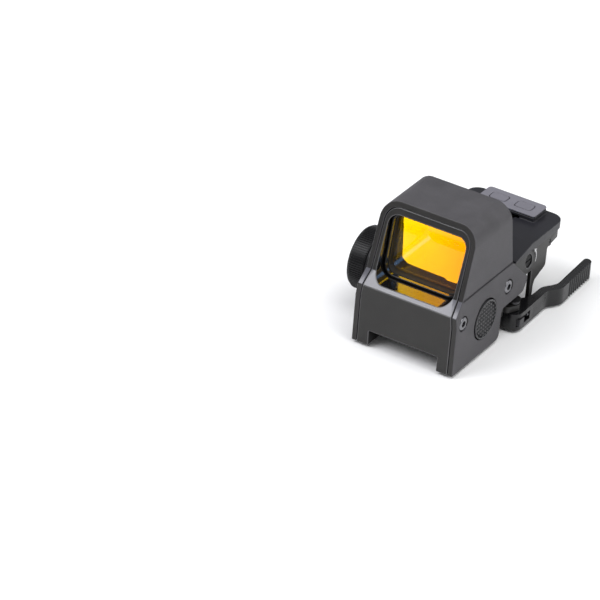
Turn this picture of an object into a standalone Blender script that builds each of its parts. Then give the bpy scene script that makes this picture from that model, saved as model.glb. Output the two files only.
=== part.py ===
"""A hooded reflex sight with a quick-detach rail clamp, as an assembly of separate parts.

Millimetres are scaled to metres by MM. X runs to the right seen from behind, Y to the rear
and Z up. The origin is on the rail seat, under the battery's axis.
"""
import math

import bpy
import bmesh
from mathutils import Matrix, Vector

MM = 0.001
GAP = 0.3  # between neighbouring parts

# Rail and seat
RAIL_HALF = 10.6  # a 21.2 mm wide accessory rail
LEG_BOTTOM = -6.2  # the side legs reach below the rail's top
NOTCH_HALF = 14.9

# Side profile of the front block and the hood
FRONT = -31.9
LEDGE_BOTTOM = 18.7
LEDGE_TOP_Y = -27.2
LEDGE_TOP_Z = 23.6
HOOD_FRONT_TOP_Y = -18.6
HOOD_REAR_TOP_Y = 6.0
HOOD_REAR_FOOT_Y = 10.8
SHIELD_TOP = 50.7
SHIELD_HALF = 22.0
SHIELD_HALF_UPPER = 20.5
SHIELD_WALL = 2.0
CREASE_LOW = 14.0  # the sides lean in between here and the ledge's top
CREASE_STEP = 0.4
HOOD_RADIUS = 7.8
LEG_REAR = 3.2

# Housing
HOUSING_HALF = SHIELD_HALF - SHIELD_WALL - GAP
HOUSING_HALF_UPPER = SHIELD_HALF_UPPER - SHIELD_WALL - GAP
HOUSING_TOP = SHIELD_TOP - 2.3 - GAP
SPLIT_Z = 20.4  # the line between the housing and its rear cover
REAR = 52.4
REAR_CORNER = 6.0
TUB_FLOOR = 10.8
TUB_INNER_FLOOR = 12.2
TUB_HALF = 17.6
CLAMP_CEILING = 6.4

# Window
TUNNEL_FLOOR = 20.1
TUNNEL_TOP = 45.5
TUNNEL_HALF = 16.7
TUNNEL_FOOT_RADIUS = 5.0
TUNNEL_CROWN_RADIUS = 4.2
LENS_FOOT_Y = -20.4
LENS_TILT = math.radians(11)
LENS_THICKNESS = 3.2
GASKET_RIM = 1.1
RETAINER_RIM = 0.8

# Battery bay: one 17 by 34.5 mm cell across the front block
BATTERY_RADIUS = 8.5
BATTERY_LENGTH = 34.5
BATTERY_Z = 10.0
BATTERY_LEFT = -26.0
BAY_RADIUS = 8.85
BAY_END = 11.0
NECK_RADIUS = 10.2
NECK_MOUTH = -34.4
FLANGE_RADIUS = 11.8
CAP_RADIUS = 12.7
CAP_FACE = -38.0
CAP_RIM_INNER = -30.4
CAP_MOUTH = -28.3
CAP_CEILING = -35.6

# Textured plug
PLUG_Y = -9.4
PLUG_Z = 8.5
PLUG_RADIUS = 8.3
PLUG_FACE = 22.4

# Rear cover
COVER_HALF = 20.3
COVER_TOP = 24.2
COVER_FRONT = 14.5
DECK_FRONT = 27.6
PANEL_HALF = 12.8
PANEL_FRONT = 40.9
PANEL_REAR = 51.6
PANEL_TOP = 26.8
BUTTON_X = 5.6
TROUGH_HALF = 4.6  # the emitter's beam leaves along a trough in the deck
TROUGH_FLOOR = 21.2
TROUGH_REAR = 40.4
TROUGH_FRONT = 26.5
TROUGH_ROOF = 24.8  # under the keypad, where the emitter looks out

# Adjusters
WINDAGE_Y = 27.1
WINDAGE_Z = 15.9
ELEVATION_Y = 22.8
CARRIAGE_FLOOR = 18.3  # 0.9 mm over the housing's shelf, since the carriage drops by 0.7 mm
CARRIAGE_ROOF = 19.6

# Rail clamp and lever
CLAMP_FRONT = 9.6
CLAMP_REAR = 25.6
JAW_OUTER = 13.0
FIXED_JAW_OUTER = 15.2
JAW_BOTTOM = -7.2
GUIDE_Y = (12.5, 22.5)  # one slot pitch of the rail apart
GUIDE_Z = -1.6
PIN_X = 20.7
PIN_Y = 15.4
PIN_RADIUS = 1.5
LEVER_TOP = 0.8
LEVER_BOTTOM = -6.4
CAM_CLOSED = 5.7
CAM_OPEN = 4.2
LEVER_FACE = 25.2


def new_collection(name, hidden=False):
    made = bpy.data.collections.new(name)
    bpy.context.scene.collection.children.link(made)
    made.hide_render = hidden
    return made


def finish(name, colour, roughness, metallic):
    material = bpy.data.materials.new(name)
    material.use_nodes = True
    shader = material.node_tree.nodes["Principled BSDF"]
    shader.inputs["Base Color"].default_value = (*colour, 1.0)
    shader.inputs["Roughness"].default_value = roughness
    shader.inputs["Metallic"].default_value = metallic
    return material


for leftover in list(bpy.data.objects):
    bpy.data.objects.remove(leftover)

PARTS = new_collection("reflex_sight")
CUTTERS = new_collection("cutters", hidden=True)
FINISHES = {
    "hood_metal": finish("hood_metal", (0.045, 0.045, 0.05), 0.55, 0.6),
    "body_metal": finish("body_metal", (0.03, 0.03, 0.032), 0.42, 0.6),
    "cover_metal": finish("cover_metal", (0.04, 0.04, 0.05), 0.45, 0.5),
    "lever_metal": finish("lever_metal", (0.02, 0.02, 0.022), 0.25, 0.7),
    "steel": finish("steel", (0.5, 0.5, 0.52), 0.3, 1.0),
    "rubber": finish("rubber", (0.02, 0.02, 0.02), 0.8, 0.0),
    "panel": finish("panel", (0.06, 0.06, 0.07), 0.5, 0.0),
    "lens_glass": finish("lens_glass", (0.9, 0.55, 0.05), 0.05, 0.0),
    "window_glass": finish("window_glass", (0.8, 0.85, 0.9), 0.05, 0.0),
    "cell_wrap": finish("cell_wrap", (0.05, 0.12, 0.3), 0.4, 0.0),
    "board": finish("board", (0.02, 0.2, 0.07), 0.5, 0.0),
    "brass": finish("brass", (0.7, 0.5, 0.2), 0.35, 1.0),
}


# ---- shape helpers ----------------------------------------------------------------------


def place(name, mesh, material, origin=(0, 0, 0), smooth=False):
    """Links a mesh that is in world millimetres as an object whose origin is at origin."""
    shift = Vector(origin)
    mesh.transform(Matrix.Scale(MM, 4) @ Matrix.Translation(-shift))
    mesh.name = name
    made = bpy.data.objects.new(name, mesh)
    made.location = shift * MM
    if material is None:
        CUTTERS.objects.link(made)
        made.hide_render = True
        made.display_type = "WIRE"
    else:
        PARTS.objects.link(made)
        mesh.materials.append(FINISHES[material])
    if smooth:
        mesh.shade_smooth()
        mesh.set_sharp_from_angle(angle=math.radians(30))
    return made


def rounded(corners, steps=5):
    """The points of an outline whose corners are (a, b) or (a, b, radius)."""
    points = []
    for index, corner in enumerate(corners):
        here = Vector(corner[:2])
        radius = corner[2] if len(corner) > 2 else 0
        if not radius:
            points.append(here)
            continue
        before = (Vector(corners[index - 1][:2]) - here).normalized()
        after = (Vector(corners[(index + 1) % len(corners)][:2]) - here).normalized()
        half = before.angle(after) / 2
        centre = here + (before + after).normalized() * (radius / math.sin(half))
        first = here + before * (radius / math.tan(half)) - centre
        sweep = first.angle_signed(here + after * (radius / math.tan(half)) - centre)
        for step in range(steps + 1):
            turn = -sweep * step / steps
            c, s = math.cos(turn), math.sin(turn)
            points.append(centre + Vector((c * first.x - s * first.y, s * first.x + c * first.y)))
    return points


AXIS_FRAMES = {
    "Z": Matrix(((1, 0, 0), (0, 1, 0), (0, 0, 1))),
    "Y": Matrix(((1, 0, 0), (0, 0, 1), (0, 1, 0))),
    "X": Matrix(((0, 0, 1), (1, 0, 0), (0, 1, 0))),
}


def mesh_of_curve(data):
    """The mesh of a curve, with its loose caps welded on and its faces turned outwards."""
    made = bpy.data.objects.new("curve", data)
    bpy.context.scene.collection.objects.link(made)
    graph = bpy.context.evaluated_depsgraph_get()
    mesh = bpy.data.meshes.new_from_object(made.evaluated_get(graph))
    bpy.data.objects.remove(made)
    work = bmesh.new()
    work.from_mesh(mesh)
    bmesh.ops.remove_doubles(work, verts=work.verts, dist=0.0001)
    bmesh.ops.recalc_face_normals(work, faces=work.faces)
    work.to_mesh(mesh)
    work.free()
    mesh.materials.clear()
    return mesh


def turned_outwards(mesh):
    work = bmesh.new()
    work.from_mesh(mesh)
    bmesh.ops.recalc_face_normals(work, faces=work.faces)
    work.to_mesh(mesh)
    work.free()


def plate_mesh(corners, axis, low, high, steps=5):
    """An outline extruded along an axis. It lies in XY for Z, XZ for Y and YZ for X."""
    data = bpy.data.curves.new("outline", "CURVE")
    data.dimensions = "2D"
    data.fill_mode = "BOTH"
    data.extrude = (high - low) / 2
    spline = data.splines.new("POLY")
    points = rounded(corners, steps)
    spline.points.add(len(points) - 1)
    for slot, point in zip(spline.points, points):
        slot.co = (*point, 0, 1)
    spline.use_cyclic_u = True
    mesh = mesh_of_curve(data)
    mesh.transform(Matrix.Translation((0, 0, (high + low) / 2)))
    mesh.transform(AXIS_FRAMES[axis].to_4x4())
    turned_outwards(mesh)
    return mesh


def plate(name, material, corners, axis, low, high, origin=(0, 0, 0), steps=5):
    return place(name, plate_mesh(corners, axis, low, high, steps), material, origin)


def block(name, material, low, high, origin=(0, 0, 0)):
    work = bmesh.new()
    bmesh.ops.create_cube(work, size=1)
    size = Vector(high) - Vector(low)
    middle = (Vector(high) + Vector(low)) / 2
    bmesh.ops.scale(work, vec=size, verts=work.verts)
    bmesh.ops.translate(work, vec=middle, verts=work.verts)
    mesh = bpy.data.meshes.new(name)
    work.to_mesh(mesh)
    work.free()
    return place(name, mesh, material, origin)


def rod(name, material, axis, centre, low, high, radius, origin=(0, 0, 0), sides=24):
    """A cylinder along an axis; centre gives its two other coordinates in X, Y, Z order."""
    work = bmesh.new()
    turn = {"X": Matrix.Rotation(math.pi / 2, 4, "Y"), "Y": Matrix.Rotation(math.pi / 2, 4, "X")}
    bmesh.ops.create_cone(
        work, cap_ends=True, segments=sides, radius1=radius, radius2=radius, depth=high - low
    )
    spot = list(centre)
    spot.insert("XYZ".index(axis), (low + high) / 2)
    bmesh.ops.transform(work, matrix=turn.get(axis, Matrix()), verts=work.verts)
    bmesh.ops.translate(work, vec=spot, verts=work.verts)
    mesh = bpy.data.meshes.new(name)
    work.to_mesh(mesh)
    work.free()
    return place(name, mesh, material, origin, smooth=True)


def turned_part(name, material, axis, centre, profile, origin=(0, 0, 0), sides=24):
    """A turned part: profile holds (radius, place along the axis), from one end to the other."""
    work = bmesh.new()
    corners = [work.verts.new((radius, 0, along)) for radius, along in profile]
    for first, second in zip(corners, corners[1:]):
        work.edges.new((first, second))
    bmesh.ops.spin(
        work, geom=work.verts[:] + work.edges[:], axis=(0, 0, 1), cent=(0, 0, 0),
        steps=sides, angle=math.tau, use_merge=True,
    )
    bmesh.ops.remove_doubles(work, verts=work.verts, dist=0.001)
    bmesh.ops.recalc_face_normals(work, faces=work.faces)
    mesh = bpy.data.meshes.new(name)
    work.to_mesh(mesh)
    work.free()
    spot = list(centre)
    spot.insert("XYZ".index(axis), 0)
    mesh.transform(AXIS_FRAMES[axis].to_4x4())
    mesh.transform(Matrix.Translation(spot))
    turned_outwards(mesh)
    return place(name, mesh, material, origin, smooth=True)


def coil(name, material, axis, centre, low, high, radius, wire, turns, origin=(0, 0, 0)):
    """A compression spring along an axis."""
    per_turn = 10
    data = bpy.data.curves.new("coil", "CURVE")
    data.dimensions = "3D"
    data.bevel_depth = wire
    data.bevel_resolution = 1
    data.use_fill_caps = True
    spline = data.splines.new("POLY")
    count = turns * per_turn
    spline.points.add(count)
    for index, slot in enumerate(spline.points):
        angle = math.tau * index / per_turn
        along = low + wire + (high - low - 2 * wire) * index / count
        slot.co = (radius * math.cos(angle), radius * math.sin(angle), along, 1)
    mesh = mesh_of_curve(data)
    spot = list(centre)
    spot.insert("XYZ".index(axis), 0)
    mesh.transform(AXIS_FRAMES[axis].to_4x4())
    mesh.transform(Matrix.Translation(spot))
    turned_outwards(mesh)
    return place(name, mesh, material, origin, smooth=True)


def ring(name, material, axis, centre, along, radius, wire, origin=(0, 0, 0)):
    """An O-ring: its section is an octagon."""
    section = []
    for step in range(9):
        angle = math.tau * step / 8
        section.append((radius + wire * math.cos(angle), along + wire * math.sin(angle)))
    return turned_part(name, material, axis, centre, section, origin)


def combine(target, tool, how):
    step = target.modifiers.new(how.lower(), "BOOLEAN")
    step.operation = how
    step.object = tool
    step.solver = "EXACT"
    return target


def cut(target, *tools):
    for tool in tools:
        combine(target, tool, "DIFFERENCE")
    return target


def join(target, *tools):
    for tool in tools:
        combine(target, tool, "UNION")
    return target


def hood_section(half, half_upper, top, radius):
    """One half of the hood's outline seen from behind: up its right side and over its corner."""
    return [
        (half, LEG_BOTTOM),
        (half, CREASE_LOW),
        (half_upper + CREASE_STEP, LEDGE_TOP_Z),
        (half_upper, top, radius),
    ]


def mirrored(points):
    """The same points on the left side, in the opposite order."""
    return [(-p[0], *p[1:]) for p in reversed(points)]


# ---- housing and shield -----------------------------------------------------------------


def hood_front(top):
    """The raked front of the hood, from the ledge under the window up to the given top."""
    return [(FRONT, LEDGE_BOTTOM), (LEDGE_TOP_Y, LEDGE_TOP_Z), (HOOD_FRONT_TOP_Y, top)]


def make_housing():
    section = hood_section(HOUSING_HALF, HOUSING_HALF_UPPER, HOUSING_TOP, HOOD_RADIUS - 2.2)
    notch = [
        (-NOTCH_HALF, LEG_BOTTOM),
        (-NOTCH_HALF, 0),
        (NOTCH_HALF, 0),
        (NOTCH_HALF, LEG_BOTTOM),
    ]
    outline = notch + section + mirrored(section)
    housing = plate("housing", "body_metal", outline, "Y", FRONT, REAR)
    side = [(FRONT, LEG_BOTTOM)] + hood_front(HOUSING_TOP + 1) + [
        (HOOD_REAR_TOP_Y + 3.0, HOUSING_TOP + 1),
        (HOOD_REAR_FOOT_Y + 2.7, LEDGE_TOP_Z),
        (HOOD_REAR_FOOT_Y + 3.0, SPLIT_Z),
        (REAR, SPLIT_Z),
        (REAR - 0.3, 16.8, 1.5),
        (41.3, 15.4, 1.5),
        (41.1, 8.0, 1.5),
        (33.1, 5.0, 1.0),
        (32.2, 2.6),
        (32.2, -3.0),
        (29.8, -3.0),
        (29.8, TUB_FLOOR),
        (18.6, TUB_FLOOR),
        (17.2, CLAMP_CEILING),
        (CLAMP_FRONT - GAP, CLAMP_CEILING),
        (CLAMP_FRONT - GAP, 0),
        (LEG_REAR - GAP, 0),
        (LEG_REAR - GAP, LEG_BOTTOM),
    ]
    combine(housing, plate("housing_side_cut", None, side, "X", -30, 30), "INTERSECT")
    plan = [
        (-HOUSING_HALF - 1, FRONT - 1),
        (HOUSING_HALF + 1, FRONT - 1),
        (HOUSING_HALF, REAR, REAR_CORNER),
        (-HOUSING_HALF, REAR, REAR_CORNER),
    ]
    combine(housing, plate("housing_plan_cut", None, plan, "Z", -20, 70), "INTERSECT")
    tub_plan = [
        (-TUB_HALF, 10.6),
        (TUB_HALF, 10.6),
        (TUB_HALF, 38.6),
        (14.0, 50.2),
        (-14.0, 50.2),
        (-TUB_HALF, 38.6),
    ]
    cut(
        housing,
        plate("tunnel_cut", None, window_outline(0), "Y", FRONT - 5, 20),
        plate("tub_cut", None, tub_plan, "Z", 17.4, 30),
        block("tub_low_cut", None, (-TUB_HALF, 10.6, TUB_INNER_FLOOR), (TUB_HALF, 39.4, 18)),
        block("under_cut", None, (-17.9, 29.0, -10), (17.9, 39.5, TUB_FLOOR)),
        rod("bay_cut", None, "X", (0, BATTERY_Z), -30, BAY_END, BAY_RADIUS, sides=32),
        rod("wire_cut", None, "Y", (10.1, 14.5), 4, 14, 0.9, sides=12),
        rod("windage_cut", None, "X", (WINDAGE_Y, WINDAGE_Z), 15, 30, 2.7),
        rod("plug_cut", None, "X", (PLUG_Y, PLUG_Z), 17.5, 30, PLUG_RADIUS - 0.6, sides=32),
    )
    for x, y, z in shield_screw_spots():
        cut(housing, rod("screw_hole", None, "X", (y, z), x - 4.5, x + 4.5, 1.6, sides=12))


def shield_screw_spots():
    """Front and rear on each side. The left rear one stands clear of the battery neck."""
    return [(20.0, -26.5, 14.4), (20.0, 7.5, 14.6), (-20.0, -26.5, 14.4), (-20.0, 15.8, 14.0)]


def make_shield():
    outer = hood_section(SHIELD_HALF, SHIELD_HALF_UPPER, SHIELD_TOP, HOOD_RADIUS)
    inner = hood_section(
        HOUSING_HALF + GAP, HOUSING_HALF_UPPER + GAP, HOUSING_TOP + GAP, HOOD_RADIUS - SHIELD_WALL
    )
    section = outer + mirrored(outer) + list(reversed(mirrored(inner))) + list(reversed(inner))
    shield = plate("shield", "hood_metal", section, "Y", FRONT, 30)
    side = [(FRONT, LEG_BOTTOM)] + hood_front(SHIELD_TOP) + [
        (HOOD_REAR_TOP_Y, SHIELD_TOP, 1.0),
        (HOOD_REAR_FOOT_Y, 23.1),
        (22.9, 12.0, 2.0),
        (19.6, 6.8, 2.5),
        (LEG_REAR + 0.4, 6.6, 2.0),
        (LEG_REAR, LEG_BOTTOM, 2.5),
    ]
    combine(shield, plate("shield_side_cut", None, side, "X", -30, 30), "INTERSECT")
    cut(
        shield,
        rod("neck_hole", None, "X", (0, BATTERY_Z), -30, -10, NECK_RADIUS + GAP, sides=32),
        rod("plug_hole", None, "X", (PLUG_Y, PLUG_Z), 10, 30, PLUG_RADIUS, sides=32),
    )
    for x, y, z in shield_screw_spots():
        cut(shield, rod("shield_hole", None, "X", (y, z), x - 4.5, x + 4.5, 3.0, sides=20))


def socket_screw(name, axis, centre, head_low, head_high, head_radius, tip, radius):
    """A screw whose head lies from head_low to head_high; tip is the end of its shank."""
    face, under = sorted((head_low, head_high), key=lambda end: -abs(end - tip))
    socket_floor = face + 0.55 * (under - face)
    socket_radius = 0.5 * head_radius
    profile = [
        (0, tip),
        (radius, tip),
        (radius, under),
        (head_radius, under),
        (head_radius, face),
        (socket_radius, face),
        (socket_radius, socket_floor),
        (0, socket_floor),
    ]
    turned_part(name, "steel", axis, centre, profile, sides=16)


def make_shield_screws():
    names = ("right_front", "right_rear", "left_front", "left_rear")
    for name, (x, y, z) in zip(names, shield_screw_spots()):
        side = math.copysign(1, x)
        socket_screw(
            "shield_screw_" + name, "X", (y, z), side * 20.1, side * 21.9, 2.7, side * 17.9, 1.3
        )


# ---- window -----------------------------------------------------------------------------


def window_outline(inset):
    """The tunnel's outline seen from behind, drawn in by inset."""
    half = TUNNEL_HALF - inset
    low = TUNNEL_FLOOR + inset
    high = TUNNEL_TOP - inset
    foot = TUNNEL_FOOT_RADIUS - inset
    crown = TUNNEL_CROWN_RADIUS - inset
    return [(-half, low, foot), (half, low, foot), (half, high, crown), (-half, high, crown)]


def sheared(made):
    """Leans a piece that stands in the window back with its height."""
    lean = Matrix.Identity(4)
    lean[1][2] = math.tan(LENS_TILT)
    lean[1][3] = -math.tan(LENS_TILT) * TUNNEL_FLOOR * MM
    made.data.transform(lean)
    return made


def make_window():
    back = LENS_FOOT_Y + LENS_THICKNESS
    glass = window_outline(GASKET_RIM + 2 * GAP)
    sheared(plate("lens", "lens_glass", glass, "Y", LENS_FOOT_Y, back))
    seat = window_outline(GAP)
    gasket = plate("lens_gasket", "rubber", seat, "Y", LENS_FOOT_Y - 0.8, back - 0.6)
    gasket_opening = window_outline(GAP + GASKET_RIM)
    cut(sheared(gasket), plate("gasket_opening", None, gasket_opening, "Y", FRONT, 0))
    retainer = plate(
        "lens_retainer", "body_metal", seat, "Y", LENS_FOOT_Y - 2.6, LENS_FOOT_Y - 1.1
    )
    retainer_opening = window_outline(GAP + RETAINER_RIM)
    cut(sheared(retainer), plate("retainer_opening", None, retainer_opening, "Y", FRONT, 0))


# ---- battery ----------------------------------------------------------------------------


def make_battery():
    mid = (0, BATTERY_Z)
    right = BATTERY_LEFT + BATTERY_LENGTH
    nub = 2.9
    cell = [
        (0, BATTERY_LEFT),
        (BATTERY_RADIUS - 0.5, BATTERY_LEFT),
        (BATTERY_RADIUS, BATTERY_LEFT + 0.6),
        (BATTERY_RADIUS, right - 1.6),
        (BATTERY_RADIUS - 0.6, right - 1.0),
        (nub, right - 1.0),
        (nub, right),
        (0, right),
    ]
    turned_part("battery", "cell_wrap", "X", mid, cell)
    rod("battery_positive_contact", "brass", "X", mid, right + GAP, right + 0.8, 7.0, sides=20)
    neck = [
        (BAY_RADIUS, NECK_MOUTH),
        (NECK_RADIUS, NECK_MOUTH),
        (NECK_RADIUS, -27.0),
        (FLANGE_RADIUS, -27.0),
        (FLANGE_RADIUS, -22.4),
        (NECK_RADIUS, -22.4),
        (NECK_RADIUS, -20.0),
        (BAY_RADIUS, -20.0),
        (BAY_RADIUS, NECK_MOUTH),
    ]
    turned_part("battery_neck", "body_metal", "X", mid, neck, sides=32)
    wire = bpy.data.curves.new("wire", "CURVE")
    wire.dimensions = "3D"
    wire.bevel_depth = 0.45
    wire.bevel_resolution = 1
    wire.use_fill_caps = True
    spline = wire.splines.new("POLY")
    route = ((10.1, 5.4, 14.5), (10.1, 11.6, 14.5), (10.3, 13.0, 14.7), (11.2, 14.2, 14.9))
    spline.points.add(len(route) - 1)
    for slot, point in zip(spline.points, route):
        slot.co = (*point, 1)
    place("battery_lead", mesh_of_curve(wire), "rubber", smooth=True)


def make_battery_cap():
    axis_point = (CAP_FACE, 0, BATTERY_Z)
    mid = (0, BATTERY_Z)
    inner = NECK_RADIUS + GAP
    shell = [
        (0, CAP_FACE),
        (CAP_RADIUS - 0.8, CAP_FACE),
        (CAP_RADIUS, CAP_FACE + 0.8),
        (CAP_RADIUS, CAP_RIM_INNER),
        (FLANGE_RADIUS, CAP_RIM_INNER),
        (FLANGE_RADIUS, CAP_MOUTH),
        (inner, CAP_MOUTH),
        (inner, CAP_CEILING),
        (0, CAP_CEILING),
    ]
    cap = turned_part("battery_cap", "body_metal", "X", mid, shell, origin=axis_point, sides=48)
    slot_low = (CAP_FACE - 1, -9.0, BATTERY_Z - 0.9)
    slot_high = (CAP_FACE + 1.2, 9.0, BATTERY_Z + 0.9)
    cut(cap, block("coin_slot", None, slot_low, slot_high))
    ring("cap_o_ring", "rubber", "X", mid, CAP_MOUTH + 0.7, 10.95, 0.4)
    contact_face = CAP_CEILING + GAP
    disc = [(0, contact_face), (7.6, contact_face), (7.6, contact_face + 0.6), (0, contact_face + 0.6)]
    turned_part("cap_contact", "brass", "X", mid, disc, origin=axis_point)
    coil(
        "cap_spring", "steel", "X", mid, contact_face + 0.9, BATTERY_LEFT - GAP, 4.6, 0.45, 4,
        origin=axis_point,
    )


def make_side_plug():
    """A stepped disc, so that the shield's hole and not the housing's shows its full width."""
    boss = PLUG_RADIUS - 0.95
    rim = PLUG_RADIUS - 0.4
    disc = [(0, 18.0), (boss, 18.0), (boss, 20.4), (rim, 20.4), (rim, PLUG_FACE), (0, PLUG_FACE)]
    turned_part("side_plug", "body_metal", "X", (PLUG_Y, PLUG_Z), disc, sides=32)


# ---- rear cover, panel and electronics ----------------------------------------------------


def panel_outline():
    """The keypad's outline seen from above, shared by the panel and its bed on the cover."""
    return [
        (-PANEL_HALF, PANEL_FRONT, 1.0),
        (PANEL_HALF, PANEL_FRONT, 1.0),
        (PANEL_HALF, PANEL_REAR, 1.5),
        (-PANEL_HALF, PANEL_REAR, 1.5),
    ]


def make_rear_cover():
    plan = [
        (-COVER_HALF, COVER_FRONT),
        (COVER_HALF, COVER_FRONT),
        (COVER_HALF, REAR + GAP, REAR_CORNER),
        (-COVER_HALF, REAR + GAP, REAR_CORNER),
    ]
    base = SPLIT_Z + GAP
    cover = plate("rear_cover", "cover_metal", plan, "Z", base, COVER_TOP)
    bevel = cover.modifiers.new("rim", "BEVEL")
    bevel.width = 1.1 * MM
    bevel.segments = 1
    bevel.limit_method = "ANGLE"
    bevel.angle_limit = math.radians(60)
    slope = [
        (10, 30),
        (10, 21.6),
        (COVER_FRONT, 21.6),
        (DECK_FRONT, COVER_TOP + 0.1),
        (DECK_FRONT, 30),
    ]
    cut(cover, plate("deck_slope", None, slope, "X", -30, 30))
    join(cover, plate("panel_bed", None, panel_outline(), "Z", COVER_TOP - 1, PANEL_TOP - 0.9))
    inner = [(-16.6, 17.5), (16.6, 17.5), (16.6, 40), (13.0, 49.2), (-13.0, 49.2), (-16.6, 40)]
    ceiling = COVER_TOP - 1.4
    under_deck = [
        (12, 22.0),
        (12, 18.0),
        (56, 18.0),
        (56, ceiling),
        (DECK_FRONT + 1, ceiling),
        (18.0, 20.9),
    ]
    cavity = plate("cover_cavity", None, inner, "Z", 18, 30)
    combine(cavity, plate("cavity_roof", None, under_deck, "X", -30, 30), "INTERSECT")
    cut(cover, cavity)
    join(cover, block("trough_bed", None, (-6.4, 25.5, base), (6.4, TROUGH_REAR, COVER_TOP - 0.2)))
    trough = [
        (TROUGH_FRONT, COVER_TOP + 0.5),
        (35.0, TROUGH_FLOOR),
        (45.0, TROUGH_FLOOR),
        (45.0, TROUGH_ROOF),
        (PANEL_FRONT, TROUGH_ROOF),
        (PANEL_FRONT, 30),
        (TROUGH_FRONT, 30),
    ]
    cut(
        cover,
        block("emitter_bay", None, (-6.4, TROUGH_REAR + 0.2, 18), (6.4, 48.6, TROUGH_ROOF)),
        plate("beam_trough", None, trough, "X", -TROUGH_HALF, TROUGH_HALF),
        rod("elevation_cut", None, "Z", (0, ELEVATION_Y), 19, 30, 2.5),
    )
    for middle in (BUTTON_X, -BUTTON_X):
        well_low = (middle - 4.1, 43.4, PANEL_TOP - 2.2)
        cut(cover, block("button_well", None, well_low, (middle + 4.1, 49.2, PANEL_TOP + 1)))


def make_cover_screws():
    for name, x in (("cover_screw_right", 17.4), ("cover_screw_left", -17.4)):
        spot = (x, 43.4)
        cut(
            bpy.data.objects["housing"],
            rod(name + "_bore", None, "Z", spot, 10, 30, 1.3, sides=12),
            rod(name + "_seat", None, "Z", spot, 10, 18.0, 2.0, sides=16),
        )
        hole = rod(name + "_hole", None, "Z", spot, 18, 22.9, 1.3, sides=12)
        cut(bpy.data.objects["rear_cover"], hole)
        socket_screw(name, "Z", spot, 17.7, 16.2, 1.7, 22.6, 1.0)


def button_outline(middle, margin):
    half = 3.5 + margin
    front = 44.0 - margin
    rear = 48.6 + margin
    corner = 1.2 + margin
    return [
        (middle - half, front, corner),
        (middle + half, front, corner),
        (middle + half, rear, corner),
        (middle - half, rear, corner),
    ]


def make_panel():
    panel = plate("keypad_panel", "panel", panel_outline(), "Z", PANEL_TOP - 0.6, PANEL_TOP)
    for name, middle in (("button_up", BUTTON_X), ("button_down", -BUTTON_X)):
        hole = button_outline(middle, GAP)
        cut(panel, plate(name + "_hole", None, hole, "Z", 20, 30, steps=3))
        origin = (middle, 46.3, PANEL_TOP)
        pad = button_outline(middle, 0)
        plate(name, "rubber", pad, "Z", PANEL_TOP - 1.4, PANEL_TOP + 0.1, origin=origin, steps=3)


def make_electronics():
    board = block("circuit_board", "board", (-16.6, 11.4, 12.6), (16.6, 38.6, 13.4))
    join(
        board,
        block("controller_chip", None, (-14.6, 14.0, 13.0), (-9.4, 19.2, 14.4)),
        block("regulator_chip", None, (-14.0, 24.0, 13.0), (-10.0, 27.0, 14.2)),
        block("coil_part", None, (10.4, 15.8, 13.0), (14.6, 19.8, 15.0)),
        block("lead_socket", None, (-14.2, 31.4, 13.0), (-8.4, 35.0, 15.4)),
    )
    block("emitter_window", "window_glass", (GAP - TROUGH_HALF, 36.8, TROUGH_FLOOR + GAP),
          (TROUGH_HALF - GAP, 37.8, COVER_TOP - 0.4))
    for name, x in (("board_screw_right", 15.2), ("board_screw_left", -15.2)):
        spot = (x, 22.0)
        cut(board, rod(name + "_hole", None, "Z", spot, 10, 20, 1.1, sides=12))
        seat = rod(name + "_seat", None, "Z", spot, 11.2, 20, 1.1, sides=12)
        cut(bpy.data.objects["housing"], seat)
        socket_screw(name, "Z", spot, 13.7, 14.7, 1.5, 11.5, 0.8)


def make_emitter():
    """The emitter rides on two slides, so that each adjuster moves it one way."""
    slide_origin = (0, WINDAGE_Y, WINDAGE_Z)
    slide = block(
        "windage_slide", "body_metal", (-6.0, 20.2, 14.0), (6.0, 34.0, 15.6), origin=slide_origin
    )
    boss = block("slide_boss", None, (3.6, 24.6, 14.8), (6.0, 29.6, 18.2))
    post_spot = (0, 31.4)
    post = rod("slide_post", None, "Z", post_spot, 15.0, CARRIAGE_ROOF, 1.1, sides=16)
    join(slide, boss, post)
    groove_low = (-9, WINDAGE_Y - 1.8, 14.1)
    cut(
        slide,
        rod("windage_thread", None, "X", (WINDAGE_Y, WINDAGE_Z), 0, 20, 1.8, sides=16),
        block("windage_groove", None, groove_low, (3.7, WINDAGE_Y + 1.8, 20)),
    )
    carriage_origin = (0, ELEVATION_Y, 20)
    carriage = block(
        "emitter_carriage", "body_metal", (-5.0, 20.0, CARRIAGE_FLOOR), (3.2, 44.4, CARRIAGE_ROOF),
        origin=carriage_origin,
    )
    tower = block("carriage_tower", None, (-3.2, 41.6, CARRIAGE_FLOOR + 0.4), (3.2, 44.4, 23.6))
    join(carriage, tower)
    slot_low = (-2.8, ELEVATION_Y - 1.9, 10)
    beam = (0, 22.0)
    cut(
        carriage,
        block("elevation_slot", None, slot_low, (2.4, ELEVATION_Y + 1.9, 30)),
        rod("post_hole", None, "Z", post_spot, 10, 30, 1.5, sides=16),
        rod("led_seat", None, "Y", beam, 40, 43.4, 1.3, sides=16),
    )
    rod("led_emitter", "window_glass", "Y", beam, 41.8, 43.1, 1.0, origin=carriage_origin, sides=12)
    mask = block(
        "reticle_mask", "steel", (-2.4, 41.0, 20.6), (2.4, 41.3, 23.4), origin=carriage_origin
    )
    cut(mask, rod("mask_hole", None, "Y", beam, 40, 42, 0.3, sides=12))
    coil("elevation_spring", "steel", "Z", post_spot, 15.9, 17.1, 1.7, 0.15, 2, origin=slide_origin)
    coil(
        "windage_spring", "steel", "X", (28.6, 15.2), -17.3, -8.0, 1.2, 0.25, 5, origin=slide_origin
    )


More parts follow.
